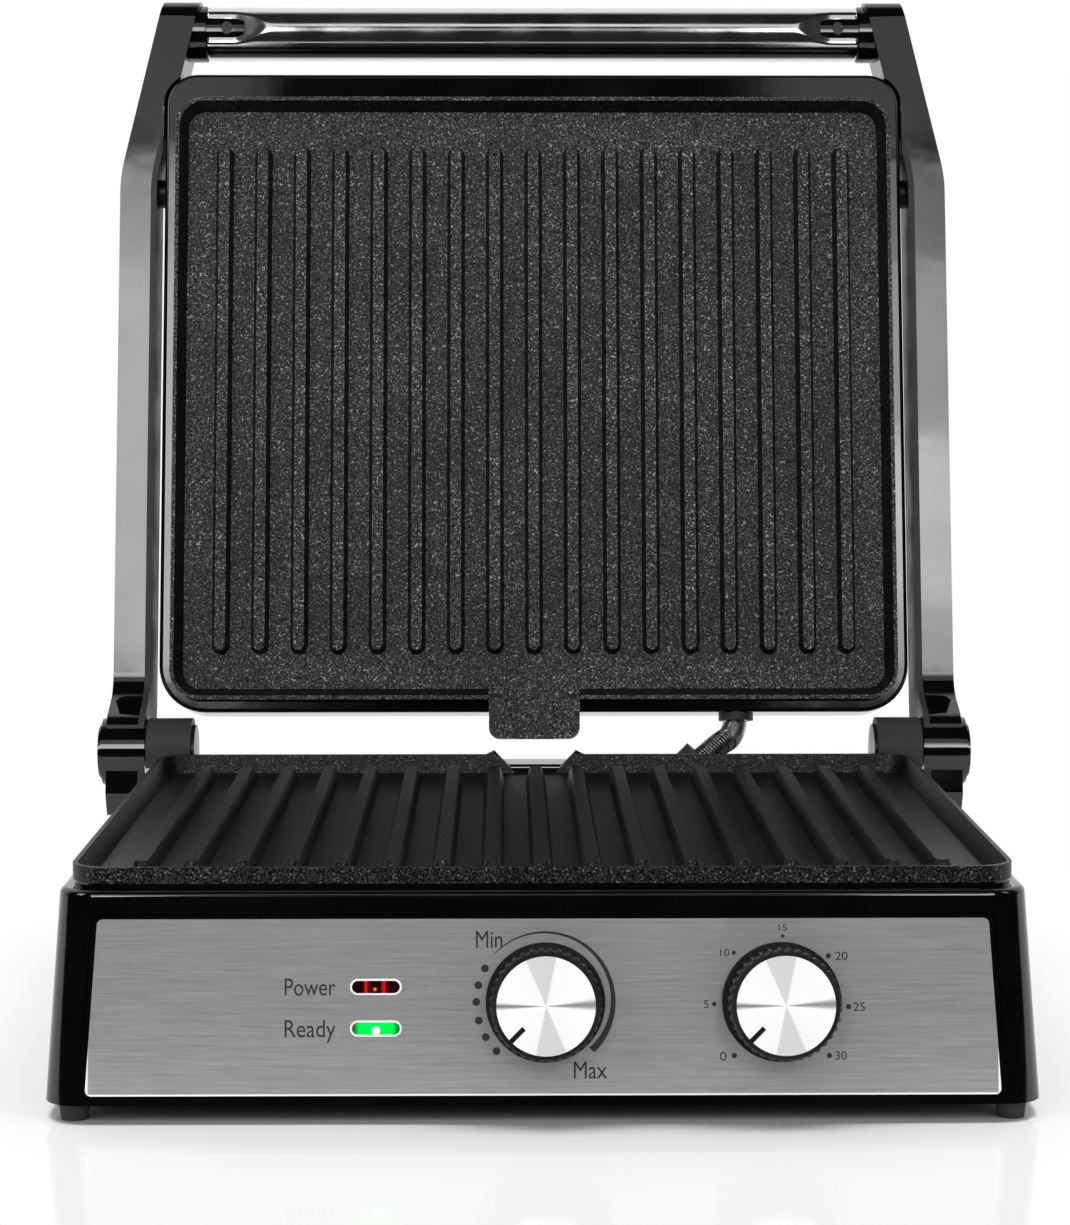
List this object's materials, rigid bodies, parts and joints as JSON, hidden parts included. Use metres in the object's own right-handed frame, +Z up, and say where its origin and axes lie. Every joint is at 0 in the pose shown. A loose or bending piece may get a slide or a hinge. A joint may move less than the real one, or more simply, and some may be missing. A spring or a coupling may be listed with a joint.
{
  "type": "panini press",
  "caption": "Contact grill with two ribbed plates, a floating lid on hinged side arms, a tube handle, a steel front with two knobs and two lamps, and a pull-out drip tray, standing open.",
  "frame": {"origin": "middle of the open grill's footprint, on the table", "axes": "+Z up, -Y towards the user and the controls, +X to the user's right"},
  "size_m": [0.3468, 0.3966, 0.3801],
  "materials": {
    "gloss_black": "polished injection moulding",
    "matte_black": "fine moulded grain",
    "rubber": "matte",
    "brushed_panel": "brushed along its length",
    "polished_steel": "polished",
    "spun_metal": "spun, circular grain",
    "red_lens": "clear tinted",
    "green_lens": "clear tinted, lit",
    "nonstick_coating": "sprayed non-stick coating with a fine fleck on cast aluminium",
    "plated_steel": "zinc plated",
    "element_steel": "heat-dulled tube",
    "aluminised_sheet": "aluminised",
    "bush_brass": "turned"
  },
  "bodies": {
    "base": {"base_shell": "gloss_black", "bottom_cover": "matte_black", "rubber_feet": "rubber", "case_screws": "plated_steel", "front_fascia": "gloss_black", "front_panel": "brushed_panel", "lamp_bezels": "polished_steel", "power_lens": "red_lens", "ready_lens": "green_lens", "lamp_board": "matte_black", "thermostat": "plated_steel", "timer": "matte_black", "terminal_block": "matte_black", "cord_inlet": "matte_black", "drain_chute": "aluminised_sheet", "lower_plate": "nonstick_coating", "lower_heater": "element_steel", "lower_reflector": "aluminised_sheet", "lower_plate_screws": "plated_steel", "thermal_fuse": "plated_steel", "hinge_tower_left": "matte_black", "hinge_tower_right": "matte_black", "tower_caps": "matte_black", "hinge_pins": "plated_steel", "stop_pins": "plated_steel", "base_gland": "matte_black", "conduit": "plated_steel"},
    "arms": {"arm_left": "gloss_black", "arm_right": "gloss_black", "arm_liner_left": "matte_black", "arm_liner_right": "matte_black", "hinge_caps": "gloss_black", "pivot_bolts": "plated_steel", "pivot_caps": "gloss_black", "handle_tube": "polished_steel", "handle_sockets": "gloss_black", "handle_screws": "plated_steel"},
    "lid": {"lid_shell": "gloss_black", "lid_cover": "brushed_panel", "pivot_bushes": "bush_brass", "lid_gland": "matte_black", "upper_plate": "nonstick_coating", "upper_heater": "element_steel", "upper_reflector": "aluminised_sheet", "upper_plate_screws": "plated_steel", "upper_cutout": "plated_steel"},
    "temperature_dial": {"temperature_knob": "matte_black", "temperature_knob_face": "spun_metal", "temperature_shaft": "plated_steel"},
    "timer_dial": {"timer_knob": "matte_black", "timer_knob_face": "spun_metal", "timer_shaft": "plated_steel"},
    "tray": {"drip_tray": "matte_black"}
  },
  "joints": [
    {"name": "lid_hinge", "type": "hinge", "parent": "base", "child": "arms", "pos_m": [0, 0.0986, 0.076], "axis": [1, 0, 0], "range_deg": [0, 101.65], "deforming": ["conduit"]},
    {"name": "lid_float", "type": "hinge", "parent": "arms", "child": "lid", "pos_m": [0, 0.16626, 0.30016], "axis": [-1, 0, 0], "range_deg": [-12, 0], "deforming": ["conduit"]},
    {"name": "temperature_knob_turn", "type": "hinge", "parent": "base", "child": "temperature_dial", "pos_m": [0.0005, -0.17924, 0.03721], "axis": [0, 0.9899, -0.1416], "range_deg": [0, 270]},
    {"name": "timer_knob_turn", "type": "hinge", "parent": "base", "child": "timer_dial", "pos_m": [0.073, -0.17924, 0.03721], "axis": [0, 0.9899, -0.1416], "range_deg": [0, 270]},
    {"name": "drip_tray_slide", "type": "slide", "parent": "base", "child": "tray", "axis": [0, 1, 0], "range_m": [0, 0.15]}
  ]
}
